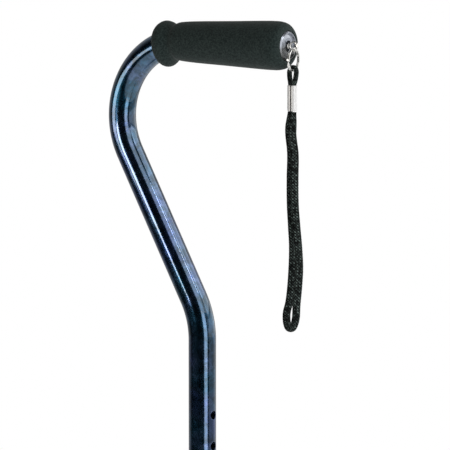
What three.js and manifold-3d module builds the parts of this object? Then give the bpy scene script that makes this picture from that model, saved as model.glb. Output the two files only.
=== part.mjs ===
// A height-adjustable walking cane with an offset handle, a foam grip, a wrist strap, and a base with
// four rubber-tipped legs. Millimetres. +Z is up and +X is forward, towards the free end of the grip.
// The origin lies on the floor at the centre of the base.
import * as THREE from "three";
import { mergeVertices } from "three/addons/utils/BufferGeometryUtils.js";
import Module from "manifold-3d";

const wasm = await Module();
wasm.setup();

// ---- Driving dimensions ----

const GAP = 0.3; // between neighbouring pieces
const SHAFT_Y = 25; // the shaft stands nearer the user's side of the base
const GRIP_Z = 819.6; // height of the grip's axis with the button in the fifth hole

const UPPER_R = 11.1; // a 7/8 inch tube
const UPPER_BORE = 9.9;
const LOWER_R = 9.525; // a 3/4 inch tube that slides in it
const LOWER_BORE = 8.325;

const GRIP_TIP_X = 80.5; // the upper tube's end inside the grip
const REAR_CORNER_X = -121; // where the lines of the grip and of the slanted run meet
const SHAFT_CORNER_DROP = 222; // below the grip's axis, where the slanted run meets the shaft
const UPPER_TUBE_DROP = 560; // the upper tube's lower end
const HANDLE_BEND_R = 62;
const SHAFT_BEND_R = 70;

const HOLE_COUNT = 10;
const HOLE_PITCH = 25.4;
const FIRST_HOLE_DROP = 300.7;
const HOLE_R = 3.5;
const BUTTON_HOLE = 4; // the hole that the button is in, counted from 0
const BUTTON_R = 3.1;

const FOOT_X = 87;
const FOOT_Y = 65;
const BOW_TOP_Z = 80; // the axis of both leg bows where they cross the hub
const BOW_R = 7.95;
const BOW_BORE = 6.45;
const OUTER_BOW_Y = 5;
const INNER_BOW_Y = 45;

const upperTubeBottom = GRIP_Z - UPPER_TUBE_DROP;
const buttonZ = GRIP_Z - FIRST_HOLE_DROP - BUTTON_HOLE * HOLE_PITCH;

// ---- Materials ----

const finish = (color, roughness, metalness = 0) =>
  new THREE.MeshStandardMaterial({ color, roughness, metalness });

const marbledPaint = finish(0x16283f, 0.12, 0.3);
const blackFoam = finish(0x232a2a, 0.85);
const greyPlastic = finish(0x8b93a3, 0.4);
const blackPlastic = finish(0x17181a, 0.5);
const brightSteel = finish(0xc8cacc, 0.2, 1);
const blackCord = finish(0x151817, 0.8);
const bareAluminium = finish(0xb4b7ba, 0.35, 1);
const springSteel = finish(0x8c9094, 0.35, 1);
const blackPaint = finish(0x14161a, 0.3, 0.4);
const castMetal = finish(0x1c1e22, 0.5, 0.5);
const greyRubber = finish(0x2b2c2e, 0.9);

// ---- Solids ----

// Turns a closed geometry into a solid that can be joined and cut.
function solid(geometry) {
  const bare = new THREE.BufferGeometry();
  bare.setAttribute("position", geometry.getAttribute("position"));
  if (geometry.index) bare.setIndex(geometry.index);
  const merged = mergeVertices(bare, 1e-4);
  const vertProperties = new Float32Array(merged.getAttribute("position").array);
  const triVerts = new Uint32Array(merged.index.array);
  return new wasm.Manifold(new wasm.Mesh({ numProp: 3, vertProperties, triVerts }));
}

// Turns a solid back into a geometry.
function shapeOf(body) {
  const mesh = body.getMesh();
  const geometry = new THREE.BufferGeometry();
  geometry.setAttribute("position", new THREE.BufferAttribute(mesh.vertProperties, 3));
  geometry.setIndex(new THREE.BufferAttribute(mesh.triVerts, 1));
  geometry.computeVertexNormals();
  return geometry;
}

const joined = (first, ...others) =>
  shapeOf(others.reduce((sum, other) => sum.add(solid(other)), solid(first)));

const cut = (first, ...tools) =>
  shapeOf(tools.reduce((rest, tool) => rest.subtract(solid(tool)), solid(first)));

// A closed profile of [radius, z] turned round the Z axis.
function turned(profile, sides) {
  const points = profile.map(([r, z]) => new THREE.Vector2(r, z));
  const closes = profile[0][0] > 0 || profile[profile.length - 1][0] > 0;
  if (closes) points.push(points[0].clone());
  return new THREE.LatheGeometry(points, sides).rotateX(Math.PI / 2);
}

// A ring or sleeve between two radii and two heights.
const sleeve = (inner, outer, low, high, sides) =>
  turned([[inner, low], [outer, low], [outer, high], [inner, high]], sides);

// A rod along one of the axes, between two places on it.
function rod(axis, radius, from, to, sides = 16) {
  const geometry = new THREE.CylinderGeometry(radius, radius, to - from, sides);
  geometry.translate(0, (from + to) / 2, 0);
  if (axis === "x") geometry.rotateZ(-Math.PI / 2);
  if (axis === "z") geometry.rotateX(Math.PI / 2);
  return geometry;
}

function box(low, high) {
  const size = high.map((value, i) => value - low[i]);
  const middle = high.map((value, i) => (value + low[i]) / 2);
  return new THREE.BoxGeometry(...size).translate(...middle);
}

// ---- Paths ----

// A path of straight runs whose corners are rounded by arcs. A corner is [x, y, z, radius].
class BentPath extends THREE.Curve {
  constructor(corners, arcSteps) {
    super();
    this.pieces = [];
    this.stations = [];
    this.length = 0;
    const points = corners.map(([x, y, z]) => new THREE.Vector3(x, y, z));
    let start = points[0];
    for (let i = 1; i < points.length; i++) {
      const before = points[i].clone().sub(start).normalize();
      if (i === points.length - 1) {
        this.addRun(start, before, points[i].distanceTo(start), 1);
        break;
      }
      const after = points[i + 1].clone().sub(points[i]).normalize();
      const angle = before.angleTo(after);
      const radius = corners[i][3];
      const reach = radius * Math.tan(angle / 2);
      this.addRun(start, before, points[i].distanceTo(start) - reach, 1);
      const axis = before.clone().cross(after).normalize();
      const arcStart = points[i].clone().addScaledVector(before, -reach);
      this.addRun(arcStart, before, radius * angle, arcSteps, axis, radius);
      start = points[i].clone().addScaledVector(after, reach);
    }
    const last = this.pieces[this.pieces.length - 1];
    this.stations.push(this.placeOn(last, last.length));
  }

  addRun(start, direction, length, steps, axis = null, radius = 0) {
    const piece = { start, direction, length, axis, radius, from: this.length };
    for (let i = 0; i < steps; i++) this.stations.push(this.placeOn(piece, (length * i) / steps));
    this.pieces.push(piece);
    this.length += length;
  }

  // The point and the direction at a distance along one piece.
  placeOn({ start, direction, axis, radius }, distance) {
    if (!axis) {
      return { point: start.clone().addScaledVector(direction, distance), tangent: direction.clone() };
    }
    const toCentre = axis.clone().cross(direction).multiplyScalar(radius);
    const centre = start.clone().add(toCentre);
    const turn = distance / radius;
    const point = toCentre.negate().applyAxisAngle(axis, turn).add(centre);
    return { point, tangent: direction.clone().applyAxisAngle(axis, turn) };
  }

  // The point and the direction at a distance from the path's start.
  placeAt(distance) {
    const piece = this.pieces.findLast(({ from }) => from <= distance) ?? this.pieces[0];
    return this.placeOn(piece, distance - piece.from);
  }

  get steps() {
    return this.stations.length - 1;
  }

  getUtoTmapping(u) {
    return u;
  }

  getPoint(t, target = new THREE.Vector3()) {
    const place = t * this.steps;
    const i = Math.min(Math.floor(place + 1e-6), this.steps - 1);
    return target.lerpVectors(this.stations[i].point, this.stations[i + 1].point, place - i);
  }

  getTangent(t, target = new THREE.Vector3()) {
    const i = Math.round(t * this.steps);
    return target.copy(this.stations[i].tangent);
  }
}

// A round section, with a bore if one is given.
function roundSection(outer, inner, sides) {
  const circle = (radius) =>
    Array.from({ length: sides }, (_, i) => {
      const turn = (2 * Math.PI * i) / sides;
      return new THREE.Vector2(radius * Math.cos(turn), radius * Math.sin(turn));
    });
  const section = new THREE.Shape(circle(outer));
  if (inner > 0) section.holes.push(new THREE.Path(circle(inner)));
  return section;
}

const swept = (section, extrudePath, steps) =>
  new THREE.ExtrudeGeometry(section, { extrudePath, steps, bevelEnabled: false });

const pipe = (path, outer, inner, sides) =>
  swept(roundSection(outer, inner, sides), path, path.steps);

// Carries a piece that stands on the Z axis onto a path in the XZ plane, z becoming distance. Its
// sections turn by that share of the path's bend.
function bentAlong(geometry, path, share) {
  const position = geometry.getAttribute("position");
  const side = new THREE.Vector3(0, 1, 0);
  const straight = path.placeAt(0).tangent;
  const vertex = new THREE.Vector3();
  for (let i = 0; i < position.count; i++) {
    vertex.fromBufferAttribute(position, i);
    const { point, tangent } = path.placeAt(vertex.z);
    const across = side.clone().cross(straight.clone().lerp(tangent, share)).normalize();
    point.addScaledVector(across, vertex.x).addScaledVector(side, vertex.y);
    position.setXYZ(i, point.x, point.y, point.z);
  }
  return geometry;
}

// ---- Handle: pieces are placed from the point where the grip's axis crosses the shaft's ----

const handlePath = new BentPath(
  [
    [GRIP_TIP_X, 0, 0],
    [REAR_CORNER_X, 0, 0, HANDLE_BEND_R],
    [0, 0, -SHAFT_CORNER_DROP, SHAFT_BEND_R],
    [0, 0, -UPPER_TUBE_DROP],
  ],
  12,
);

function upperTube() {
  const tube = pipe(handlePath, UPPER_R, UPPER_BORE, 20);
  const drills = Array.from({ length: HOLE_COUNT }, (_, i) =>
    rod("x", HOLE_R, -UPPER_R - 2, UPPER_R + 2, 12).translate(0, 0, -FIRST_HOLE_DROP - i * HOLE_PITCH),
  );
  return cut(tube, ...drills);
}

// The grip's outline, as [distance from its free end, radius]: a rounded end, a body that thins
// towards the rear, a neck, and a bead.
const GRIP_OUTLINE = [
  [-1.2, 12.6],
  [-0.9, 14.2],
  [0.2, 16.2],
  [2.4, 18],
  [6, 19],
  [13, 19.3],
  [22, 19.1],
  [35, 18.6],
  [49, 18],
  [65, 17.4],
  [81, 16.8],
  [89, 16.4],
  [95, 16],
  [101, 15.3],
  [104.5, 14.3],
  [107.2, 15.1],
  [110.3, 17.2],
  [113.3, 18.5],
  [116, 18.2],
  [118.3, 16.9],
  [119.9, 14.8],
  [120.5, 12.9],
];
const GRIP_BORE = 11.6;
const GRIP_BORE_STATIONS = [1, 60, 95, 101, 107, 113, 117, 120.5];
const GRIP_MOUTH_R = 12.2; // the wider mouth of the bore, round the end cap
const GRIP_TURN_SHARE = 0.5;

function foamGrip() {
  const outside = GRIP_OUTLINE.map(([along, radius]) => [radius, along]);
  const inside = GRIP_BORE_STATIONS.toReversed().map((along) => [GRIP_BORE, along]);
  const recess = [[GRIP_MOUTH_R, 0], [GRIP_MOUTH_R, GRIP_OUTLINE[0][0]]];
  return bentAlong(turned([...outside, ...inside, ...recess], 24), handlePath, GRIP_TURN_SHARE);
}

// The cap's plug stands in the tube, and its flange closes the end of the grip. Its face is a low
// cone inside the flange's rim, with a recess round the eye's shank.
const CAP_FACE_X = GRIP_TIP_X + 1.2;
const EYE_RECESS_DEPTH = 4.5;
const EYE_BORE = 1.6;

function endCap() {
  const flangeBack = GRIP_TIP_X + GAP;
  const rim = GRIP_TIP_X + 2.2;
  const profile = [
    [EYE_BORE, CAP_FACE_X - 20],
    [8.6, CAP_FACE_X - 20],
    [9.5, CAP_FACE_X - 17.5],
    [9.5, flangeBack],
    [11.6, flangeBack],
    [11.8, flangeBack + 0.8],
    [11.2, rim],
    [10, rim],
    [9.2, CAP_FACE_X - 0.7],
    [4.4, CAP_FACE_X],
    [3.8, CAP_FACE_X - EYE_RECESS_DEPTH],
    [EYE_BORE, CAP_FACE_X - EYE_RECESS_DEPTH],
  ];
  return turned(profile, 20).rotateY(Math.PI / 2);
}

// The screw eye: a shank in the cap and a round loop that stands upright in front of it.
const EYE_R = 3.5;
const EYE_WIRE_R = 0.95;
const EYE_X = CAP_FACE_X + GAP + EYE_R + EYE_WIRE_R;

function strapEye() {
  const loop = new THREE.TorusGeometry(EYE_R, EYE_WIRE_R, 8, 16).rotateX(Math.PI / 2);
  loop.translate(EYE_X, 0, 0);
  const shank = rod("x", 1.3, CAP_FACE_X - 14, EYE_X - EYE_R, 12);
  return joined(loop, shank);
}

// ---- Strap: pieces are placed from the centre of the eye ----

const RING_R = 9.5;
const RING_BORE = 8.2;
const RING_HALF_WIDTH = 1.1;
const RING_DROP = RING_BORE + 2.1; // its centre, below the eye's centre
const RING_TURN = THREE.MathUtils.degToRad(6); // it hangs a little askew in the eye

// Two turns of flat wire side by side, with a groove between them.
function splitRing() {
  const profile = [
    [RING_BORE, -RING_HALF_WIDTH],
    [RING_R - 0.2, -RING_HALF_WIDTH],
    [RING_R, -RING_HALF_WIDTH + 0.3],
    [RING_R, -0.15],
    [RING_R - 0.3, 0],
    [RING_R, 0.15],
    [RING_R, RING_HALF_WIDTH - 0.3],
    [RING_R - 0.2, RING_HALF_WIDTH],
    [RING_BORE, RING_HALF_WIDTH],
  ];
  return turned(profile, 24).rotateY(Math.PI / 2).rotateZ(RING_TURN);
}

const FERRULE_X = -1;
const FERRULE_TOP = -30.4;
const FERRULE_BOTTOM = -50.6;
const FERRULE_HALF_WIDTH = 4.4;
const FERRULE_HALF_DEPTH = 2.85;
const FERRULE_WALL = 0.6;
const FERRULE_TURN = THREE.MathUtils.degToRad(-20);

function stadium(halfWidth, halfDepth) {
  const straight = halfWidth - halfDepth;
  const outline = new THREE.Shape();
  outline.absarc(straight, 0, halfDepth, -Math.PI / 2, Math.PI / 2);
  outline.absarc(-straight, 0, halfDepth, Math.PI / 2, (3 * Math.PI) / 2);
  return outline;
}

// A flattened tube that is crimped round both legs of the cord.
function cordFerrule() {
  const section = stadium(FERRULE_HALF_WIDTH, FERRULE_HALF_DEPTH);
  const inside = stadium(FERRULE_HALF_WIDTH - FERRULE_WALL, FERRULE_HALF_DEPTH - FERRULE_WALL);
  section.holes.push(new THREE.Path(inside.getPoints(6)));
  const depth = FERRULE_TOP - FERRULE_BOTTOM;
  const body = new THREE.ExtrudeGeometry(section, { depth, bevelEnabled: false, curveSegments: 6 });
  return body.rotateZ(FERRULE_TURN).translate(FERRULE_X, 0, FERRULE_BOTTOM);
}

// The cord's small loop: up out of the ferrule, over the bottom of the ring, and down again.
const CORD_EYE_R = 1.7;
const CORD_EYE_ROUTE = [
  [-2.8, 0.65, -40],
  [-2.8, 0.65, -33],
  [-2.85, 0.67, -30.6],
  [-3.6, 1.1, -27],
  [-4.3, 1.4, -23.8],
  [-4.4, 1.45, -20.4],
  [-3.8, 1.25, -18.4],
  [-2.5, 0.85, -16.7],
  [-0.1, 0.05, -16.15],
  [2.2, -0.8, -16.7],
  [3.3, -1.2, -18.4],
  [3.6, -1.35, -20.4],
  [3.1, -1.25, -23.8],
  [2.2, -1, -27],
  [0.85, -0.67, -30.6],
  [0.8, -0.65, -33],
  [0.8, -0.65, -40],
];

// The wrist loop: down the near leg, round the bottom, and up the far leg.
const CORD_R = 2.2;
const CORD_LOOP_ROUTE = [
  [1.1, -0.8, -51.3],
  [1.2, -1.6, -58],
  [1.1, -2.8, -68],
  [3.4, -3, -84],
  [3.5, -3.2, -104],
  [4, -3.5, -124],
  [6.3, -4.5, -142],
  [8.9, -5.8, -158],
  [10.4, -6.8, -174],
  [9.6, -7.2, -190],
  [8.4, -7.5, -203],
  [8.1, -7.7, -211.8],
  [6.8, -7.1, -216.4],
  [4.3, -5.4, -220.3],
  [1.1, -2.9, -222.9],
  [-2.5, 0, -223.8],
  [-5.9, 2.9, -222.9],
  [-8.7, 5.4, -220.3],
  [-10.3, 7.1, -216.4],
  [-10.4, 7.7, -211.8],
  [-7.9, 7.5, -203],
  [-6, 7.2, -190],
  [-4.6, 6.8, -174],
  [-3.6, 5.8, -158],
  [-3.8, 4.5, -142],
  [-4.3, 3.5, -124],
  [-4.3, 3.2, -104],
  [-3.8, 3, -84],
  [-5.5, 2.8, -68],
  [-4.4, 1.6, -58],
  [-3.1, 0.8, -51.3],
];

const routed = (route, radius, sides, steps) =>
  swept(
    roundSection(radius, 0, sides),
    new THREE.CatmullRomCurve3(route.map((place) => new THREE.Vector3(...place))),
    steps,
  );

// ---- Height lock on the lower end of the upper tube: placed from that end, on the shaft's axis ----

const SLEEVE_BORE = UPPER_R + GAP;
const LIP_BORE = LOWER_R + GAP;
const SLEEVE_R = 13;
const SLEEVE_LIP = [-2.4, -GAP]; // the lip under the end of the upper tube
const SLEEVE_TOP = 22.4;
const RING_SPAN = [-9.1, -2.7];
const NUT_BOTTOM = -12.6;
const NUT_TOP = 12.4;
const NUT_R = 15;
const NUT_RIBS = 8;

function collarSleeve() {
  const profile = [
    [LIP_BORE, SLEEVE_LIP[0]],
    [SLEEVE_R, SLEEVE_LIP[0]],
    [SLEEVE_R, SLEEVE_TOP - 1],
    [SLEEVE_R - 1, SLEEVE_TOP],
    [SLEEVE_BORE, SLEEVE_TOP],
    [SLEEVE_BORE, SLEEVE_LIP[1]],
    [LIP_BORE, SLEEVE_LIP[1]],
  ];
  return turned(profile, 24);
}

// A tapered ring with one slot, which the nut squeezes onto the lower tube.
function compressionRing() {
  const [low, high] = RING_SPAN;
  const ring = turned([[LIP_BORE, low], [11.2, low], [12.4, high], [LIP_BORE, high]], 24);
  return cut(ring, box([8, -0.8, low - 1], [14, 0.8, high + 1]));
}

function lockNut() {
  const inside = SLEEVE_R + GAP;
  const shell = turned(
    [
      [LIP_BORE, NUT_BOTTOM],
      [NUT_R - 1.5, NUT_BOTTOM],
      [NUT_R, NUT_BOTTOM + 2],
      [NUT_R, NUT_TOP - 1],
      [NUT_R - 0.6, NUT_TOP],
      [inside, NUT_TOP],
      [inside, RING_SPAN[0] - GAP],
      [LIP_BORE, RING_SPAN[0] - GAP],
    ],
    16,
  );
  const ribs = Array.from({ length: NUT_RIBS }, (_, i) =>
    box([NUT_R - 0.8, -0.9, NUT_BOTTOM + 3], [NUT_R + 0.8, 0.9, NUT_TOP - 2]).rotateZ(
      (2 * Math.PI * i) / NUT_RIBS,
    ),
  );
  return joined(shell, ...ribs);
}

// ---- Lower tube, button and spring: heights from the floor, on the shaft's axis ----

const LOWER_TUBE_Z = [84.3, 461];
const SHAFT_BOLT_Z = 115;
const SHAFT_BOLT_R = 2.5;

function lowerTube() {
  const tube = sleeve(LOWER_BORE, LOWER_R, ...LOWER_TUBE_Z, 24);
  const buttonHole = rod("x", BUTTON_R + GAP, 0, LOWER_R + 2, 14).translate(0, 0, buttonZ);
  const boltHole = rod("y", SHAFT_BOLT_R + GAP, -LOWER_R - 2, LOWER_R + 2).translate(0, 0, SHAFT_BOLT_Z);
  return cut(tube, buttonHole, boltHole);
}

// The button's domed head stands 2.2 mm proud of the upper tube; its flange stays inside.
const BUTTON_TIP = UPPER_R + 2.2;
const BUTTON_FLANGE = [5.8, 7];

function snapButton() {
  const profile = [
    [0, BUTTON_FLANGE[0]],
    [3.8, BUTTON_FLANGE[0]],
    [3.8, BUTTON_FLANGE[1]],
    [BUTTON_R, BUTTON_FLANGE[1]],
    [BUTTON_R, BUTTON_TIP - 1.2],
    [2.2, BUTTON_TIP - 0.3],
    [0, BUTTON_TIP],
  ];
  return turned(profile, 16).rotateY(Math.PI / 2);
}

// A strip bent into a V: one arm pushes the button out, the other leans on the opposite wall.
function buttonSpring() {
  const armX = BUTTON_FLANGE[0] - GAP;
  const strip = 0.6;
  const foldZ = -38;
  const armTop = 5;
  const outline = new THREE.Shape(
    [
      [armX, armTop],
      [armX - strip, armTop],
      [-1, foldZ + strip],
      [-2, foldZ + strip],
      [-7 + strip, armTop],
      [-7, armTop],
      [-2.4, foldZ],
      [-0.6, foldZ],
    ].map(([x, z]) => new THREE.Vector2(x, z)),
  );
  const width = 6;
  const strip3d = new THREE.ExtrudeGeometry(outline, { depth: width, bevelEnabled: false });
  return strip3d.rotateX(Math.PI / 2).translate(0, width / 2, 0);
}

// ---- Base: heights from the floor ----

const LEG_END_Z = 10.5;
const CHANNEL_R = BOW_R + GAP;
const HUB_X = 32;
const HUB_Y = [-8, 58];
const HUB_Z = [BOW_TOP_Z + 0.15, 95];
const SOCKET_TOP = 128;
const SOCKET_R = 15;
const PLATE_Z = [66, BOW_TOP_Z - 0.15];
const CLAMP_BOLT_X = [-24.5, 24.5];
const CLAMP_BOLT_R = 3;

function legBow(topX, topY, kneeZ, footY, bendR) {
  const half = [
    [FOOT_X, footY, LEG_END_Z],
    [FOOT_X, footY, kneeZ, bendR],
    [topX, topY, BOW_TOP_Z, bendR],
  ];
  const mirrored = half.toReversed().map(([x, ...rest]) => [-x, ...rest]);
  return pipe(new BentPath([...half, ...mirrored], 4), BOW_R, BOW_BORE, 12);
}

const bowChannels = () =>
  [OUTER_BOW_Y, INNER_BOW_Y].map((y) => rod("x", CHANNEL_R, -60, 60, 20).translate(0, y, BOW_TOP_Z));

const clampBoltHoles = () =>
  CLAMP_BOLT_X.map((x) => rod("z", CLAMP_BOLT_R + GAP, 40, 120, 14).translate(x, SHAFT_Y, 0));

// The plan of the hub and of the plate under it: a rectangle with cut corners.
function hubBlock([low, high]) {
  const corner = 6;
  const [back, front] = HUB_Y;
  const plan = new THREE.Shape(
    [
      [HUB_X - corner, back],
      [HUB_X, back + corner],
      [HUB_X, front - corner],
      [HUB_X - corner, front],
      [corner - HUB_X, front],
      [-HUB_X, front - corner],
      [-HUB_X, back + corner],
      [corner - HUB_X, back],
    ].map(([x, y]) => new THREE.Vector2(x, y)),
  );
  return new THREE.ExtrudeGeometry(plan, { depth: high - low, bevelEnabled: false }).translate(0, 0, low);
}

function baseHub() {
  const socket = turned(
    [
      [0, HUB_Z[1] - 5],
      [SOCKET_R + 2.5, HUB_Z[1] - 1],
      [SOCKET_R, HUB_Z[1] + 5],
      [SOCKET_R, SOCKET_TOP - 1.5],
      [SOCKET_R - 1.5, SOCKET_TOP],
      [0, SOCKET_TOP],
    ],
    28,
  ).translate(0, SHAFT_Y, 0);
  const bore = rod("z", LOWER_R + GAP, LOWER_TUBE_Z[0] - GAP, SOCKET_TOP + 2, 24);
  const bolt = rod("y", SHAFT_BOLT_R + GAP, -SOCKET_R - 5, SOCKET_R + 5);
  return cut(
    joined(hubBlock(HUB_Z), socket),
    bore.translate(0, SHAFT_Y, 0),
    bolt.translate(0, SHAFT_Y, SHAFT_BOLT_Z),
    ...bowChannels(),
    ...clampBoltHoles(),
  );
}

const clampPlate = () => cut(hubBlock(PLATE_Z), ...bowChannels(), ...clampBoltHoles());

// A bolt that points up along Z: the head's top is at the given height and the shank rises from it.
function bolt(shankR, headR, headHeight, length) {
  const head = rod("z", headR, -headHeight, 0, 6);
  return joined(head, rod("z", shankR, -0.5, length, 14));
}

function nut(boreR, outerR, height) {
  return cut(rod("z", outerR, 0, height, 6), rod("z", boreR, -1, height + 1, 14));
}

const TIP_R = 14.5;
const TIP_HEIGHT = 34;
const TIP_BORE = BOW_R + GAP;
const TIP_FLOOR = 8.5;

// A ferrule of rubber with a flared foot, two grip rings above it, and two round treads below.
function rubberTip() {
  const profile = [
    [0, 0],
    [4, 0],
    [4, 1.5],
    [6.5, 1.5],
    [6.5, 0],
    [TIP_R - 1.2, 0],
    [TIP_R, 1.2],
    [TIP_R, 5],
    [TIP_R - 1.6, 8],
    [TIP_R - 3.2, 12],
    [TIP_R - 3.6, 22],
    [TIP_R - 2.6, 23.5],
    [TIP_R - 2.6, 26],
    [TIP_R - 3.8, 27.5],
    [TIP_R - 4, TIP_HEIGHT - 1.5],
    [TIP_R - 5, TIP_HEIGHT],
    [TIP_BORE, TIP_HEIGHT],
    [TIP_BORE, TIP_FLOOR],
    [0, TIP_FLOOR],
  ];
  return turned(profile, 18);
}

const tipWasher = () => sleeve(2.5, BOW_R - 0.15, TIP_FLOOR + GAP, LEG_END_Z - GAP, 12);

// ---- Assembly ----

function add(group, name, geometry, material) {
  const mesh = new THREE.Mesh(geometry, material);
  mesh.name = name;
  group.add(mesh);
  return mesh;
}

function place(parent, x, y, z) {
  const group = new THREE.Group();
  group.position.set(x, y, z);
  parent.add(group);
  return group;
}

const cane = new THREE.Group();

const handle = place(cane, 0, SHAFT_Y, GRIP_Z);
add(handle, "upper_tube", upperTube(), marbledPaint);
add(handle, "foam_grip", foamGrip(), blackFoam);
add(handle, "handle_end_cap", endCap(), greyPlastic);
add(handle, "strap_eye", strapEye(), brightSteel);

const strap = place(handle, EYE_X, 0, 0);
add(strap, "split_ring", splitRing(), brightSteel).position.z = -RING_DROP;
add(strap, "cord_ferrule", cordFerrule(), brightSteel);
add(strap, "wrist_cord_eye", routed(CORD_EYE_ROUTE, CORD_EYE_R, 8, 24), blackCord);
add(strap, "wrist_cord_loop", routed(CORD_LOOP_ROUTE, CORD_R, 8, 40), blackCord);

const lock = place(cane, 0, SHAFT_Y, upperTubeBottom);
add(lock, "collar_sleeve", collarSleeve(), blackPlastic);
add(lock, "compression_ring", compressionRing(), blackPlastic);
add(lock, "lock_nut", lockNut(), blackPlastic);

const shaft = place(cane, 0, SHAFT_Y, 0);
add(shaft, "lower_tube", lowerTube(), bareAluminium);
add(shaft, "snap_button", snapButton(), brightSteel).position.z = buttonZ;
add(shaft, "button_spring", buttonSpring(), springSteel).position.z = buttonZ;

const base = place(cane, 0, 0, 0);
add(base, "base_hub", baseHub(), castMetal);
add(base, "hub_clamp_plate", clampPlate(), castMetal);
add(base, "outer_leg_bow", legBow(55, OUTER_BOW_Y, 52, -FOOT_Y, 22), blackPaint);
add(base, "inner_leg_bow", legBow(62, INNER_BOW_Y, 54, FOOT_Y, 22), blackPaint);

CLAMP_BOLT_X.forEach((x, i) => {
  const side = i === 0 ? "rear" : "front";
  const fastener = place(base, x, SHAFT_Y, 0);
  const boltMesh = add(fastener, `clamp_bolt_${side}`, bolt(CLAMP_BOLT_R, 5.6, 4, 36.5), brightSteel);
  boltMesh.position.z = PLATE_Z[0] - GAP;
  const nutMesh = add(fastener, `clamp_nut_${side}`, nut(CLAMP_BOLT_R + GAP, 5.6, 5), brightSteel);
  nutMesh.position.z = HUB_Z[1] + GAP;
});

const shaftBolt = add(shaft, "shaft_bolt", bolt(SHAFT_BOLT_R, 4.6, 3.5, 36.5), brightSteel);
shaftBolt.position.set(0, -SOCKET_R - GAP, SHAFT_BOLT_Z);
shaftBolt.rotation.x = -Math.PI / 2;
const shaftNut = add(shaft, "shaft_nut", nut(SHAFT_BOLT_R + GAP, 4.6, 4), brightSteel);
shaftNut.position.set(0, SOCKET_R + GAP, SHAFT_BOLT_Z);
shaftNut.rotation.x = -Math.PI / 2;

for (const [end, x] of [["front", FOOT_X], ["rear", -FOOT_X]]) {
  for (const [side, y] of [["outer", -FOOT_Y], ["inner", FOOT_Y]]) {
    const foot = place(base, x, y, 0);
    add(foot, `rubber_tip_${end}_${side}`, rubberTip(), greyRubber);
    add(foot, `tip_washer_${end}_${side}`, tipWasher(), brightSteel);
  }
}

export default cane;
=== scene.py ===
"""The offset-handle walking cane as it looks: fine meshes and materials round the CAD frame.

Metres. +Z is up, +X points towards the free end of the grip, and the floor is at z = 0.
"""

import math

import bmesh
import bpy
import numpy as np
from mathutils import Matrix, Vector


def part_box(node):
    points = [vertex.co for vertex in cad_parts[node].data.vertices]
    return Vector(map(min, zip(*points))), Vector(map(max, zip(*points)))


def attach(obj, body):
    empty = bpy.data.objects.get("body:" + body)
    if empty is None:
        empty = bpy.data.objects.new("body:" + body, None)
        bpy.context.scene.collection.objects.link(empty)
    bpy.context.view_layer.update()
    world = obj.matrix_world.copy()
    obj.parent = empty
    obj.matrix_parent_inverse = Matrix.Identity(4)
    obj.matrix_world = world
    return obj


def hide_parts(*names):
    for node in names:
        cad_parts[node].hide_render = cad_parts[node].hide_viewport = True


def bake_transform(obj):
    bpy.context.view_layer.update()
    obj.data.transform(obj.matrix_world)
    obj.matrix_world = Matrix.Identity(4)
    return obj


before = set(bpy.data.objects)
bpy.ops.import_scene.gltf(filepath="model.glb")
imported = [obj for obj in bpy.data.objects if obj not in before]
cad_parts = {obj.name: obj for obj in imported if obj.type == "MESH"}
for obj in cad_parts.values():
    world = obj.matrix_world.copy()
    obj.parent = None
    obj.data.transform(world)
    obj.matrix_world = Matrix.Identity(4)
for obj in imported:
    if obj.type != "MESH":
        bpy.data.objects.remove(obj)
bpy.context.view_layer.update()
MM = 0.001
TAU = 2 * math.pi


# ---- Places, read from the frame ----


def middle(node):
    """The middle of a CAD node's box."""
    low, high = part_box(node)
    return (low + high) / 2


SHAFT = middle("lower_tube")
TUBE_LOW, TUBE_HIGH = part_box("upper_tube")
TUBE_R = (TUBE_HIGH.y - TUBE_LOW.y) / 2
TUBE_BORE = 9.9 * MM
TUBE_BOTTOM = TUBE_LOW.z
GRIP_TIP_X = TUBE_HIGH.x
GRIP_Z = middle("handle_end_cap").z
RING = middle("split_ring")
EYE = Vector((RING.x, RING.y, GRIP_Z))
GRIP_TIP = GRIP_TIP_X / MM
CAP_FACE = GRIP_TIP + 1.2  # the end cap's face along X, in millimetres

# The corners of the upper tube's path from the grip's free end, and the radii of its bends.
REAR_CORNER_X = -121 * MM
SHAFT_CORNER_Z = GRIP_Z - 222 * MM
HANDLE_BEND_R = 62 * MM
SHAFT_BEND_R = 70 * MM

HOLE_COUNT = 10
HOLE_PITCH = 25.4 * MM
FIRST_HOLE_Z = GRIP_Z - 300.7 * MM
HOLE_R = 3.5 * MM

BOW_R = 7.95 * MM
BOW_BORE = 6.45 * MM
FOOT_X = 87 * MM
FOOT_Y = 65 * MM
BOW_TOP_Z = 80 * MM


# ---- Camera ----

VIEW_AZIMUTH = 34  # degrees round from -Y towards +X
VIEW_ELEVATION = 7.3
VIEW_DISTANCE = 2.4
VIEW_WIDTH = 0.3612  # of the square picture, in the plane of the shaft
VIEW_RIGHT = 0.0183  # from the shaft to the picture's middle
VIEW_DROP = 0.1467  # from the grip's axis to the picture's middle
SENSOR_WIDTH = 36
AIM = Vector((SHAFT.x, SHAFT.y, GRIP_Z - VIEW_DROP))  # a point of the shaft


def direction(azimuth, elevation):
    """The unit vector towards an azimuth and elevation in degrees."""
    a, e = math.radians(azimuth), math.radians(elevation)
    return Vector((math.sin(a) * math.cos(e), -math.cos(a) * math.cos(e), math.sin(e)))


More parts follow.
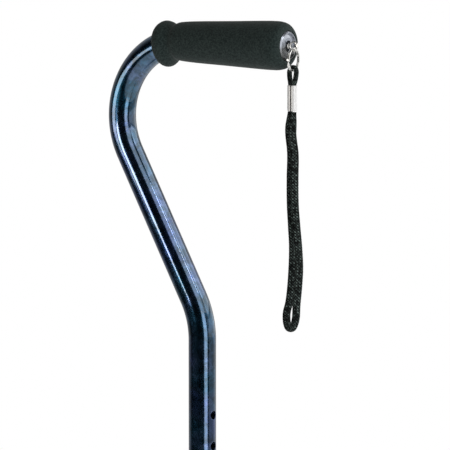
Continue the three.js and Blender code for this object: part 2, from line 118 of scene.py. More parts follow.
def place_camera():
    right = direction(VIEW_AZIMUTH + 90, 0)
    back = direction(VIEW_AZIMUTH, VIEW_ELEVATION)
    data = bpy.data.cameras.new("camera")
    data.sensor_width = SENSOR_WIDTH
    data.lens = SENSOR_WIDTH * VIEW_DISTANCE / VIEW_WIDTH
    camera = bpy.data.objects.new("camera", data)
    camera.location = AIM + right * VIEW_RIGHT + back * VIEW_DISTANCE
    camera.rotation_mode = "QUATERNION"
    camera.rotation_quaternion = (-back).to_track_quat("-Z", "Y")
    bpy.context.scene.collection.objects.link(camera)
    bpy.context.scene.camera = camera


place_camera()


# ---- Materials ----


class Nodes:
    """A short way to write a material's node tree."""

    def __init__(self, name):
        self.material = bpy.data.materials.new(name)
        self.material.use_nodes = True
        self.tree = self.material.node_tree
        self.shader = self.tree.nodes["Principled BSDF"]

    def add(self, kind, inputs=None, **settings):
        node = self.tree.nodes.new(kind)
        for key, value in settings.items():
            setattr(node, key, value)
        for key, value in (inputs or {}).items():
            self.put(node.inputs[key], value)
        return node

    def put(self, socket, value):
        if isinstance(value, bpy.types.NodeSocket):
            self.tree.links.new(value, socket)
        else:
            socket.default_value = value

    def set(self, **values):
        for key, value in values.items():
            self.put(self.shader.inputs[key.replace("_", " ")], value)

    def place(self, scale=(1, 1, 1)):
        """A piece's own rest coordinates, in metres, stretched by scale."""
        coordinates = self.add("ShaderNodeTexCoord").outputs["Object"]
        return self.add("ShaderNodeMapping", {"Vector": coordinates, "Scale": scale}).outputs[0]

    def noise(self, vector, scale, detail=4.0, rough=0.55, distortion=0.0):
        inputs = {"Vector": vector, "Scale": scale, "Detail": detail}
        inputs |= {"Roughness": rough, "Distortion": distortion}
        return self.add("ShaderNodeTexNoise", inputs).outputs["Fac"]

    def ramp(self, factor, *stops):
        node = self.add("ShaderNodeValToRGB", {"Fac": factor})
        elements = node.color_ramp.elements
        while len(elements) < len(stops):
            elements.new(0.5)
        for element, (position, color) in zip(elements, stops):
            element.position = position
            element.color = (*color, 1) if len(color) == 3 else color
        return node.outputs["Color"]

    def grey(self, factor, *stops):
        return self.ramp(factor, *[(position, (level,) * 3) for position, level in stops])

    def attribute(self, name, output="Fac"):
        return self.add("ShaderNodeAttribute", attribute_name=name).outputs[output]

    def height(self, vector):
        return self.add("ShaderNodeSeparateXYZ", {0: vector}).outputs["Z"]

    def vector(self, operation, inputs):
        return self.add("ShaderNodeVectorMath", inputs, operation=operation).outputs[0]

    def math(self, operation, a, b):
        return self.add("ShaderNodeMath", {0: a, 1: b}, operation=operation).outputs[0]

    def mix(self, factor, a, b, blend="MIX"):
        node = self.add("ShaderNodeMix", data_type="RGBA", blend_type=blend)
        self.put(node.inputs["Factor"], factor)
        self.put(node.inputs["A"], a)
        self.put(node.inputs["B"], b)
        return node.outputs["Result"]

    def bump(self, height, distance, strength=1.0):
        inputs = {"Height": height, "Distance": distance, "Strength": strength}
        self.set(Normal=self.add("ShaderNodeBump", inputs).outputs[0])


def marbled_paint():
    """Dark metallic blue with paler veins and clouds under a clear coat.

    Its hue wanders from teal to violet, and is nearer to teal beside the grip. The mesh carries
    its own coordinates in flow: across the tube, and the distance along it."""
    n = Nodes("marbled_paint")
    where = n.attribute("flow", "Vector")
    swirl = n.add("ShaderNodeTexNoise", {"Vector": where, "Scale": 55, "Detail": 3.0})
    swirl = n.vector("SCALE", {0: swirl.outputs["Color"], "Scale": 0.02})
    shifted = n.vector("ADD", {0: where, 1: swirl})
    clouds = n.noise(shifted, 95, 5, 0.62, 0.6)
    crazed = n.add(
        "ShaderNodeTexVoronoi",
        {"Vector": shifted, "Scale": 210},
        feature="DISTANCE_TO_EDGE",
    ).outputs["Distance"]
    base = n.ramp(
        clouds,
        (0.3, (0.01, 0.034, 0.062)),
        (0.44, (0.03, 0.077, 0.14)),
        (0.54, (0.06, 0.122, 0.235)),
        (0.64, (0.105, 0.172, 0.32)),
        (0.78, (0.2, 0.25, 0.44)),
    )
    vein = n.grey(crazed, (0.0, 0.6), (0.07, 0.0))
    veined_areas = n.grey(n.noise(where, 60, 3, 0.6), (0.45, 0.0), (0.62, 0.8))
    vein = n.math("MULTIPLY", vein, veined_areas)
    near_grip = n.grey(n.math("MULTIPLY", n.height(where), 2.0), (0.34, 0.15), (0.5, 0.0))
    patches = n.noise(n.vector("ADD", {0: where, 1: (0.05, 0.05, 0.11)}), 40, 2, 0.5)
    tint = n.ramp(
        n.math("SUBTRACT", patches, near_grip),
        (0.3, (0.34, 0.9, 0.88)),
        (0.44, (0.74, 0.92, 0.93)),
        (0.52, (0.86, 0.9, 0.96)),
        (0.62, (0.66, 0.72, 1.0)),
    )
    colour = n.mix(1.0, n.mix(vein, base, (0.2, 0.28, 0.5, 1)), tint, "MULTIPLY")
    n.set(Base_Color=colour, Metallic=0.97, Roughness=n.grey(clouds, (0.3, 0.16), (0.8, 0.22)))
    n.set(Coat_Weight=1.0, Coat_Roughness=0.03, Coat_IOR=1.65)
    return n.material


def foam():
    """Matte closed-cell foam with a speckled skin."""
    n = Nodes("foam")
    where = n.place()
    cells = n.add("ShaderNodeTexVoronoi", {"Vector": where, "Scale": 1500}).outputs["Distance"]
    soft = n.noise(where, 90, 5)
    speckle = n.noise(where, 750, 2, 0.7)
    n.set(
        Base_Color=n.ramp(speckle, (0.36, (0.006, 0.014, 0.0135)), (0.64, (0.029, 0.047, 0.045))),
        Roughness=n.grey(soft, (0.3, 0.78), (0.7, 0.9)),
        Specular_IOR_Level=0.25,
        Sheen_Weight=0.1,
        Sheen_Roughness=0.5,
    )
    n.bump(n.math("ADD", cells, n.math("MULTIPLY", soft, 1.2)), 0.00012, 0.7)
    return n.material


def plastic(name, dark, light, rough, grain=900.0, depth=0.00003):
    """A moulded plastic with a fine grain."""
    n = Nodes(name)
    where = n.place()
    cloud = n.noise(where, 120, 4)
    n.set(
        Base_Color=n.ramp(cloud, (0.3, dark), (0.7, light)),
        Roughness=n.grey(cloud, (0.3, rough - 0.05), (0.7, rough + 0.07)),
    )
    n.bump(n.noise(where, grain, 3), depth, 0.6)
    return n.material


def metal(name, dark, light, rough, stretch=(1, 1, 1), lines=400.0, depth=0.00001, bare=1.0):
    """A metal with fine marks drawn out along the axis whose stretch is smallest."""
    n = Nodes(name)
    fine = n.noise(n.place(stretch), lines, 4)
    cloud = n.noise(n.place(), 60, 4)
    n.set(
        Base_Color=n.ramp(cloud, (0.3, dark), (0.7, light)),
        Metallic=bare,
        Roughness=n.grey(fine, (0.3, rough - 0.04), (0.7, rough + 0.09)),
    )
    n.bump(fine, depth, 0.5)
    return n.material


def cap_plastic():
    """A grey moulding with a metallic lustre, with painted shade that makes it darker towards its
    lower edge and lighter towards its top.
    """
    reach = 10 * MM  # the height from the grip's axis over which its painted shade turns into painted light
    n = Nodes("cap_plastic")
    where = n.place()
    rise = n.math("SUBTRACT", n.height(where), GRIP_Z - reach)
    share = n.math("MULTIPLY", rise, 0.5 / reach)
    # painted shade and light: the lower part of the cap is painted dark grey and the upper part
    # pale lavender grey, for how the light falls on it
    painted_light_tone = n.ramp(share, (0.38, (0.15, 0.155, 0.16)), (0.66, (0.36, 0.39, 0.45)))
    cloud = n.noise(where, 60, 4)
    fine = n.noise(where, 400, 4)
    n.set(
        Base_Color=n.mix(n.grey(cloud, (0.4, 0.0), (0.8, 0.25)), painted_light_tone, (0.2, 0.2, 0.21, 1)),
        Metallic=0.75,
        Roughness=n.grey(fine, (0.3, 0.19), (0.7, 0.27)),
    )
    n.bump(fine, 0.00001, 0.5)
    return n.material


def satin_nickel():
    """Bright plating with soft rub marks, and the dark slit of a closing seam."""
    n = Nodes("satin_nickel")
    rubbed = n.noise(n.place((1, 1, 0.1)), 400, 4)
    slit = n.grey(n.attribute("seam"), (0.2, 0.0), (0.45, 1.0))
    plated = n.ramp(rubbed, (0.3, (0.92, 0.92, 0.93)), (0.7, (0.97, 0.97, 0.98)))
    n.set(
        Base_Color=n.mix(slit, plated, (0.01, 0.01, 0.011, 1)),
        Metallic=0.2,
        Roughness=n.grey(rubbed, (0.3, 0.3), (0.7, 0.42)),
    )
    n.bump(rubbed, 0.00001, 0.5)
    return n.material


def braid():
    """Black polyester yarn, with a painted highlight on the high crowns of its strands and painted
    shade in the low parts between them, stronger in random patches.

    The strands themselves are in the mesh, which says how high each point is."""
    n = Nodes("braid")
    where = n.place()
    yarn = n.noise(n.place((1, 1, 0.35)), 2600, 3)
    dust = n.grey(n.noise(where, 160, 4), (0.4, 0.0), (0.8, 0.15))
    high = n.attribute("strand")
    # painted highlight and shade: the high crowns of the strands are painted pale and the low parts
    # between them nearly black
    painted_light_tone = n.ramp(high, (0.62, (0.0012, 0.002, 0.002)), (1.0, (0.19, 0.245, 0.232)))
    # random patches that set how strongly the painted highlight on the crowns shows
    rubbed = n.grey(n.noise(where, 430, 1, 0.5), (0.42, 0.1), (0.6, 1.0))
    painted_light_tone = n.mix(1.0, painted_light_tone, rubbed, "MULTIPLY")
    n.set(
        Base_Color=n.mix(dust, painted_light_tone, (0.04, 0.05, 0.05, 1)),
        Roughness=0.7,
        Specular_IOR_Level=0.08,
        Sheen_Weight=0.0,
    )
    n.bump(yarn, 0.00006, 0.8)
    return n.material


def rubber():
    """Black moulded rubber with a dusty bloom."""
    n = Nodes("tip_rubber")
    where = n.place()
    cloud = n.noise(where, 70, 5)
    dust = n.noise(where, 420, 3)
    n.set(
        Base_Color=n.ramp(cloud, (0.3, (0.02, 0.02, 0.021)), (0.75, (0.042, 0.042, 0.043))),
        Roughness=n.grey(dust, (0.3, 0.72), (0.7, 0.9)),
        Specular_IOR_Level=0.35,
    )
    n.bump(dust, 0.00004, 0.6)
    return n.material


def powder_coat(name, dark, light, rough, grain, depth):
    """A baked coat with a grain of that scale and depth."""
    n = Nodes(name)
    where = n.place()
    cloud = n.noise(where, 50, 4)
    n.set(
        Base_Color=n.ramp(cloud, (0.3, dark), (0.7, light)),
        Roughness=n.grey(cloud, (0.3, rough - 0.05), (0.7, rough + 0.08)),
        Coat_Weight=0.25,
        Coat_Roughness=0.2,
    )
    n.bump(n.noise(where, grain, 2), depth, 0.8)
    return n.material


PAINT = marbled_paint()
FOAM = foam()
CAP = cap_plastic()
BLACK = plastic("black_plastic", (0.012, 0.012, 0.014), (0.02, 0.02, 0.022), 0.45)
CHROME = metal("bright_steel", (0.86, 0.86, 0.84), (0.94, 0.94, 0.92), 0.12, bare=0.92)
NICKEL = satin_nickel()
BRAID = braid()
BRUSHED = (1, 1, 0.04)  # marks drawn out along Z
ALUMINIUM = metal("bare_tube", (0.56, 0.57, 0.58), (0.68, 0.69, 0.7), 0.28, BRUSHED, 1500)
SPRING = metal("spring_steel", (0.38, 0.39, 0.4), (0.5, 0.51, 0.52), 0.32, (1, 1, 0.1))
ZINC = metal("zinc_steel", (0.5, 0.5, 0.47), (0.62, 0.61, 0.57), 0.3)
COAT = powder_coat("black_paint", (0.011, 0.012, 0.014), (0.018, 0.019, 0.021), 0.3, 500, 0.00002)
CASTING = powder_coat(
    "hub_casting", (0.016, 0.017, 0.019), (0.028, 0.029, 0.032), 0.5, 900, 0.00007
)
RUBBER = rubber()


# ---- Meshes ----

SIDE = np.array((0.0, 1.0, 0.0))  # across the plane of the handle


def unit(vector):
    """A vector's direction."""
    return vector / np.linalg.norm(vector)


def units(vectors):
    """The directions of several vectors."""
    return vectors / np.linalg.norm(vectors, axis=1)[:, None]


def piece(name, vertices, faces, material, body, nodes=(), sharp=35.0, attributes=None):
    """A smooth mesh that rides on a body and replaces its CAD nodes.

    Edges sharper than that angle stay sharp, and attributes are values for each vertex."""
    mesh = bpy.data.meshes.new(name)
    mesh.from_pydata([tuple(map(float, v)) for v in vertices], [], faces)
    for key, values in (attributes or {}).items():
        vector = np.ndim(values) == 2
        layer = mesh.attributes.new(key, "FLOAT_VECTOR" if vector else "FLOAT", "POINT")
        layer.data.foreach_set("vector" if vector else "value", np.ravel(values))
    tidy = bmesh.new()
    tidy.from_mesh(mesh)
    bmesh.ops.remove_doubles(tidy, verts=tidy.verts, dist=1e-7)
    bmesh.ops.recalc_face_normals(tidy, faces=tidy.faces)
    tidy.to_mesh(mesh)
    tidy.free()
    mesh.polygons.foreach_set("use_smooth", [True] * len(mesh.polygons))
    mesh.set_sharp_from_angle(angle=math.radians(sharp))
    mesh.materials.append(material)
    made = bpy.data.objects.new(name, mesh)
    bpy.context.scene.collection.objects.link(made)
    if body:
        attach(made, body)
    if nodes:
        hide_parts(*nodes)
    return made


def bridged(rows, columns, closed=False):
    """Quads between rows of vertices, each row a loop of that many columns."""
    faces = []
    for i in range(rows if closed else rows - 1):
        a, b = i * columns, (i + 1) % rows * columns
        for j in range(columns):
            k = (j + 1) % columns
            faces.append((a + j, a + k, b + k, b + j))
    return faces


def rounded(corners, steps=5):
    """A polyline of (x, y, radius) with its corners rounded."""
    out = []
    for i, (x, y, radius) in enumerate(corners):
        here = np.array((x, y))
        if radius <= 0 or i in (0, len(corners) - 1):
            out.append(here)
            continue
        before = unit(np.array(corners[i - 1][:2]) - here)
        after = unit(np.array(corners[i + 1][:2]) - here)
        half = math.acos(np.clip(before @ after, -1, 1)) / 2
        reach = radius / math.tan(half)
        centre = here + unit(before + after) * radius / math.sin(half)
        a, b = here + before * reach - centre, here + after * reach - centre
        turn = math.atan2(a[0] * b[1] - a[1] * b[0], a @ b)
        for t in np.linspace(0, turn, steps + 1):
            c, s = math.cos(t), math.sin(t)
            out.append(centre + np.array((c * a[0] - s * a[1], s * a[0] + c * a[1])))
    return np.array(out)


def turned(profile, sides, origin, axis="z", bulge=None):
    """The vertices and faces of a profile of (radius, height) turned round an axis.

    The axis is z or x, and goes through origin. bulge(angles, height) adds to the radius."""
    angles = np.arange(sides) * TAU / sides
    rows = []
    for r, h in profile:
        radius = r + (bulge(angles, h) if bulge is not None and r > 0 else 0)
        c, s = radius * np.cos(angles), radius * np.sin(angles)
        along = np.full(sides, h)
        rows.append(np.stack((along, c, s) if axis == "x" else (c, s, along), axis=1))
    return np.concatenate(rows) + np.array(origin), bridged(len(rows), sides)


def lathe(name, corners, sides, origin, material, body, nodes=(), axis="z", bulge=None):
    """A turned piece from corners of (radius, height, rounding) in millimetres."""
    vertices, faces = turned(rounded(corners) * MM, sides, origin, axis, bulge)
    return piece(name, vertices, faces, material, body, nodes)


class Path:
    """Straight runs joined by arcs, from corners and a radius for each inner corner."""

    def __init__(self, corners, radii):
        corners = [np.array(c, float) for c in corners]
        self.runs = []
        self.length = 0.0
        start = corners[0]
        for i in range(1, len(corners)):
            step = corners[i] - start
            before = unit(step)
            if i == len(corners) - 1:
                self.add(start, before, np.linalg.norm(step))
                break
            after = unit(corners[i + 1] - corners[i])
            radius = radii[i - 1]
            angle = math.acos(np.clip(before @ after, -1, 1))
            reach = radius * math.tan(angle / 2)
            self.add(start, before, np.linalg.norm(step) - reach)
            axis = unit(np.cross(before, after))
            self.add(corners[i] - before * reach, before, radius * angle, axis, radius)
            start = corners[i] + after * reach

    def add(self, start, direction, length, axis=None, radius=0.0):
        self.runs.append((self.length, start, direction, length, axis, radius))
        self.length += length

    def at(self, distance):
        """The point and the direction at a distance from the start."""
        run = [r for r in self.runs if r[0] <= distance + 1e-12 or r is self.runs[0]][-1]
        begins, start, direction, _, axis, radius = run
        along = distance - begins
        if axis is None:
            return start + direction * along, direction
        inward = np.cross(axis, direction)
        t = along / radius
        tangent = direction * math.cos(t) + inward * math.sin(t)
        return start + radius * (direction * math.sin(t) + inward * (1 - math.cos(t))), tangent

    def stations(self, straight, bent):
        """Distances along the path, at most those steps apart."""
        out = [0.0]
        for begins, _, _, length, axis, _ in self.runs:
            count = max(1, math.ceil(length / (straight if axis is None else bent)))
            out += list(begins + length * np.arange(1, count + 1) / count)
        return out


def carried_frames(tangents, first):
    """Two directions across the path at each station, turned as little as possible."""
    across = np.array(first, float)
    out = []
    for t in tangents:
        across = unit(across - t * (across @ t))
        out.append((across, np.cross(t, across)))
    return out


def circle(sides):
    """The cosines and sines round a circle."""
    angles = np.arange(sides) * TAU / sides
    return np.cos(angles), np.sin(angles)


def through(points, t, counts):
    """A smooth curve that passes the points at the parameters t, with that many steps between."""
    slope = np.gradient(points, t, axis=0)
    out = []
    for i, count in enumerate(counts):
        wide = t[i + 1] - t[i]
        for u in np.linspace(0, 1, count, endpoint=False):
            h = (2 * u**3 - 3 * u**2 + 1, u**3 - 2 * u**2 + u, 3 * u**2 - 2 * u**3, u**3 - u**2)
            out.append(
                h[0] * points[i]
                + h[1] * wide * slope[i]
                + h[2] * points[i + 1]
                + h[3] * wide * slope[i + 1]
            )
    out.append(points[-1])
    return np.array(out)


def pipe(name, path, outer, inner, material, body, nodes, sides=40):
    """A round tube whose outer edge is drawn in a little at both ends."""
    spots = [path.at(s) for s in path.stations(20 * MM, 2.2 * MM)]
    frames = carried_frames([tangent for _, tangent in spots], (0.13, 0.07, 1.0))
    c, s = circle(sides)
    rows = []
    for radius, order in ((outer, 1), (inner, -1)):
        loops = []
        for (point, _), (a, b) in zip(spots, frames):
            loops.append(point + radius * (np.outer(c, a) + np.outer(s, b)))
        rows += loops[::order]
    drawn_in = 0.25 * MM / (outer - inner)
    last = len(spots) - 1
    for outside, inside in ((0, 2 * last + 1), (last, last + 1)):
        rows[outside] = rows[outside] + (rows[inside] - rows[outside]) * drawn_in
    faces = bridged(len(rows), sides, closed=True)
    return piece(name, np.concatenate(rows), faces, material, body, nodes, sharp=50)


# ---- Wrist strap ----

# The same routes as the CAD tubes, from the centre of the eye, in millimetres.
LOOP_ROUTE = [
    (1.1, -0.8, -51.3), (1.2, -1.6, -58), (1.1, -2.8, -68),
    (3.4, -3, -84), (3.5, -3.2, -104), (4, -3.5, -124),
    (6.3, -4.5, -142), (8.9, -5.8, -158), (10.4, -6.8, -174),
    (9.6, -7.2, -190), (8.4, -7.5, -203), (8.1, -7.7, -211.8),
    (6.8, -7.1, -216.4), (4.3, -5.4, -220.3), (1.1, -2.9, -222.9),
    (-2.5, 0, -223.8), (-5.9, 2.9, -222.9), (-8.7, 5.4, -220.3),
    (-10.3, 7.1, -216.4), (-10.4, 7.7, -211.8), (-7.9, 7.5, -203),
    (-6, 7.2, -190), (-4.6, 6.8, -174), (-3.6, 5.8, -158),
    (-3.8, 4.5, -142), (-4.3, 3.5, -124), (-4.3, 3.2, -104),
    (-3.8, 3, -84), (-5.5, 2.8, -68), (-4.4, 1.6, -58),
    (-3.1, 0.8, -51.3),
]
EYE_ROUTE = [
    (-2.8, 0.65, -40), (-2.8, 0.65, -33), (-2.85, 0.67, -30.6),
    (-3.6, 1.1, -27), (-4.3, 1.4, -23.8), (-4.4, 1.45, -20.4),
    (-3.8, 1.25, -18.4), (-2.5, 0.85, -16.7), (-0.1, 0.05, -16.15),
    (2.2, -0.8, -16.7), (3.3, -1.2, -18.4), (3.6, -1.35, -20.4),
    (3.1, -1.25, -23.8), (2.2, -1, -27), (0.85, -0.67, -30.6),
    (0.8, -0.65, -33), (0.8, -0.65, -40),
]


def distances(points):
    """How far along a line each of its points is."""
    return np.concatenate([[0], np.cumsum(np.linalg.norm(np.diff(points, axis=0), axis=1))])


def smooth_line(route, step):
    """Points about step apart on one smooth curve through the route's points, and its length."""
    route = np.array(route) * MM + np.array(EYE)
    chords = np.sqrt(np.linalg.norm(np.diff(route, axis=0), axis=1))
    t = np.concatenate([[0], np.cumsum(chords)])
    fine = through(route, t, [40] * (len(route) - 1))
    along = distances(fine)
    at = np.linspace(0, along[-1], math.ceil(along[-1] / step) + 1)
    return np.stack([np.interp(at, along, fine[:, k]) for k in range(3)], axis=1), along[-1]


BRAID_SIDES = 72
BRAID_STEP = 0.3 * MM
PINCHED_LENGTH = 14 * MM  # over which a cord swells from its pinched end to its full size
CROWN_FLATNESS = 0.7  # 1 is a sine, and less is flatter on top
STRAND_RELIEF = 0.13  # of the cord's half width
MEAN_CROWN = 0.65
RIGHT_HAND_TONE = 0.8  # the strands that run the other way catch less light


def braided(name, route, half_width, half_depth, across, carriers, lay, nodes, pinch):
    """An oval cord of interlaced strands along a route.

    across is the direction of its width, carriers the strands that run each way, and lay the
    length in which one strand goes once round. The ends are pinched to that share of the size."""
    line, length = smooth_line(route, BRAID_STEP)
    frames = carried_frames(units(np.gradient(line, axis=0)), across)
    angles = np.arange(BRAID_SIDES) * TAU / BRAID_SIDES
    rows, heights = [], []
    for i, (point, (a, b)) in enumerate(zip(line, frames)):
        turn = TAU * (i * BRAID_STEP) / lay
        left = carriers * (angles + turn) / TAU
        right = carriers * (angles - turn) / TAU
        over = np.cos(math.pi * (np.floor(left) + np.floor(right))) > 0
        crown_left = np.sin(math.pi * (left % 1)) ** CROWN_FLATNESS
        crown_right = np.sin(math.pi * (right % 1)) ** CROWN_FLATNESS
        high = np.where(over, crown_left, crown_right)
        heights.append(np.where(over, high, RIGHT_HAND_TONE * high))
        u = min(1.0, min(i, len(line) - 1 - i) * BRAID_STEP / PINCHED_LENGTH)
        size = pinch + (1 - pinch) * u * u * (3 - 2 * u)
        swell = size * (1 + STRAND_RELIEF * (high - MEAN_CROWN))
        rows.append(
            point
            + np.outer(half_width * swell * np.cos(angles), a)
            + np.outer(half_depth * swell * np.sin(angles), b)
        )
    rows = [rows[0] * 0 + line[0], *rows, rows[-1] * 0 + line[-1]]
    heights = [heights[0] * 0, *heights, heights[-1] * 0]
    faces = bridged(len(rows), BRAID_SIDES)
    strand = {"strand": np.concatenate(heights)}
    made = piece(name, np.concatenate(rows), faces, BRAID, "strap", nodes, 60, strand)
    return made, line, length


cord_loop, loop_line, loop_length = braided(
    "wrist_strap",
    LOOP_ROUTE,
    half_width=3.15 * MM,
    half_depth=2.05 * MM,
    across=(0.64, 0.77, 0),
    carriers=7,
    lay=16.5 * MM,
    nodes=["wrist_cord_loop"],
    pinch=0.66,
)
cord_eye, _, _ = braided(
    "wrist_strap_eye",
    EYE_ROUTE,
    half_width=2.15 * MM,
    half_depth=1.6 * MM,
    across=(0.34, 0.94, 0),
    carriers=8,
    lay=12 * MM,
    nodes=["wrist_cord_eye"],
    pinch=0.85,
)

FERRULE_LOW, FERRULE_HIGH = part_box("cord_ferrule")
FERRULE_TURN = math.radians(-20)
SEAM_ANGLE = math.radians(-80)
SEAM_WIDTH = math.radians(6)
SEAM_DEPTH = 0.5 * MM


def ferrule():
    """A flattened sleeve pressed round the two legs, with its closing seam on the front."""
    sides, lengths = 240, 60
    half_flat, radius, wall = 1.55 * MM, 2.85 * MM, 0.6 * MM
    edge, edge_draw = 0.4 * MM, 0.8
    centre = (FERRULE_LOW + FERRULE_HIGH) / 2
    angles = np.arange(sides) * TAU / sides
    c, s = circle(sides)
    flat = half_flat * np.tanh(c * 6)  # parts the two round ends, and blends where they meet
    off_seam = np.abs((angles - SEAM_ANGLE + math.pi) % TAU - math.pi)
    slit = np.exp(-((off_seam / SEAM_WIDTH) ** 2))
    low, high = FERRULE_LOW.z, FERRULE_HIGH.z
    cos_t, sin_t = math.cos(FERRULE_TURN), math.sin(FERRULE_TURN)
    rows = []

    def loop(z, size):
        x = flat + (size - SEAM_DEPTH * slit) * c
        y = (size - SEAM_DEPTH * slit) * s
        across = (cos_t * x - sin_t * y + centre.x, sin_t * x + cos_t * y + centre.y)
        rows.append(np.stack((*across, np.full(sides, z)), axis=1))

    for i in range(lengths + 1):
        z = low + i / lengths * (high - low)
        from_end = min(edge, z - low, high - z)
        lip = edge - math.sqrt(max(0.0, edge**2 - (edge - from_end) ** 2))
        loop(z, radius - lip * edge_draw)
    for z in (high, high - 3 * MM, low + 3 * MM, low):
        loop(z, radius - wall)
    return piece(
        "crimp_ferrule",
        np.concatenate(rows),
        bridged(len(rows), sides, closed=True),
        NICKEL,
        "strap",
        ["cord_ferrule"],
        attributes={"seam": np.tile(slit, len(rows))},
    )


crimp = ferrule()


# ---- Split ring and eye ----


def swept(name, points, tangents, first, section, material, body, nodes, capped=True):
    """A section of (across, other way) points swept along a line, or round a ring if uncapped."""
    wide, deep = np.array(section).T
    rows = []
    for point, (a, b) in zip(points, carried_frames(tangents, first)):
        rows.append(point + np.outer(wide, a) + np.outer(deep, b))
    if capped:
        rows = [rows[0] * 0 + points[0], *rows, rows[-1] * 0 + points[-1]]
    faces = bridged(len(rows), len(section), closed=not capped)
    return piece(name, np.concatenate(rows), faces, material, body, nodes)


def oblong(half_a, half_b, corner, steps=4):
    """A rounded rectangle as a loop of points."""
    out = []
    for k, (sa, sb) in enumerate(((1, 1), (-1, 1), (-1, -1), (1, -1))):
        a, b = sa * (half_a - corner), sb * (half_b - corner)
        for t in np.linspace(k * math.pi / 2, (k + 1) * math.pi / 2, steps + 1):
            out.append((a + corner * math.cos(t), b + corner * math.sin(t)))
    return out


def split_ring():
    """Flat wire wound twice, the second turn beside the first."""
    mean, pitch = 8.85 * MM, 1.12 * MM
    askew, start, gap = math.radians(6), math.radians(200), math.radians(14)
    crossing = math.radians(70)  # where the wire steps over from the first turn to the second
    turns = np.linspace(0, 2 * TAU - gap, 360)
    step_over = np.clip((turns - TAU + crossing / 2) / crossing, 0, 1)
    x = pitch * (step_over**2 * (3 - 2 * step_over) - 0.5)
    y = mean * np.cos(start + turns)
    z = mean * np.sin(start + turns)
    cos_a, sin_a = math.cos(askew), math.sin(askew)
    points = np.stack((cos_a * x - sin_a * y, sin_a * x + cos_a * y, z), axis=1) + np.array(RING)
    swept(
        "key_ring",
        points,
        units(np.gradient(points, axis=0)),
        (cos_a, sin_a, 0),
        oblong(0.53 * MM, 0.63 * MM, 0.25 * MM),
        CHROME,
        "ring",
        ["split_ring"],
    )


split_ring()


def strap_eye():
    """A round wire loop on a plain shank, with a small collar where it meets the cap."""
    mean, wire = 3.5 * MM, 0.95 * MM
    c, s = circle(96)
    level = np.zeros(len(c))
    swept(
        "eye_loop",
        mean * np.stack((c, level, s), axis=1) + np.array(EYE),
        np.stack((-s, level, c), axis=1),
        SIDE,
        np.stack(circle(24), axis=1) * wire,
        CHROME,
        "handle",
        ["strap_eye"],
        capped=False,
    )
    lathe(
        "eye_shank",
        [
            (0, CAP_FACE - 14, 0),
            (1.3, CAP_FACE - 14, 0.2),
            (1.3, CAP_FACE - 0.2, 0),
            (1.9, CAP_FACE - 0.1, 0.1),
            (1.9, CAP_FACE + 0.35, 0.15),
            (1.25, CAP_FACE + 0.5, 0.1),
            (1.0, CAP_FACE + 1.1, 0.2),
            (0, CAP_FACE + 1.1, 0),
        ],
        32,
        (0, EYE.y, EYE.z),
        CHROME,
        "handle",
        axis="x",
    )


strap_eye()


# ---- Upper tube ----

HANDLE_PATH = Path(
    [
        (GRIP_TIP_X, SHAFT.y, GRIP_Z),
        (REAR_CORNER_X, SHAFT.y, GRIP_Z),
        (SHAFT.x, SHAFT.y, SHAFT_CORNER_Z),
        (SHAFT.x, SHAFT.y, TUBE_BOTTOM),
    ],
    [HANDLE_BEND_R, SHAFT_BEND_R],
)


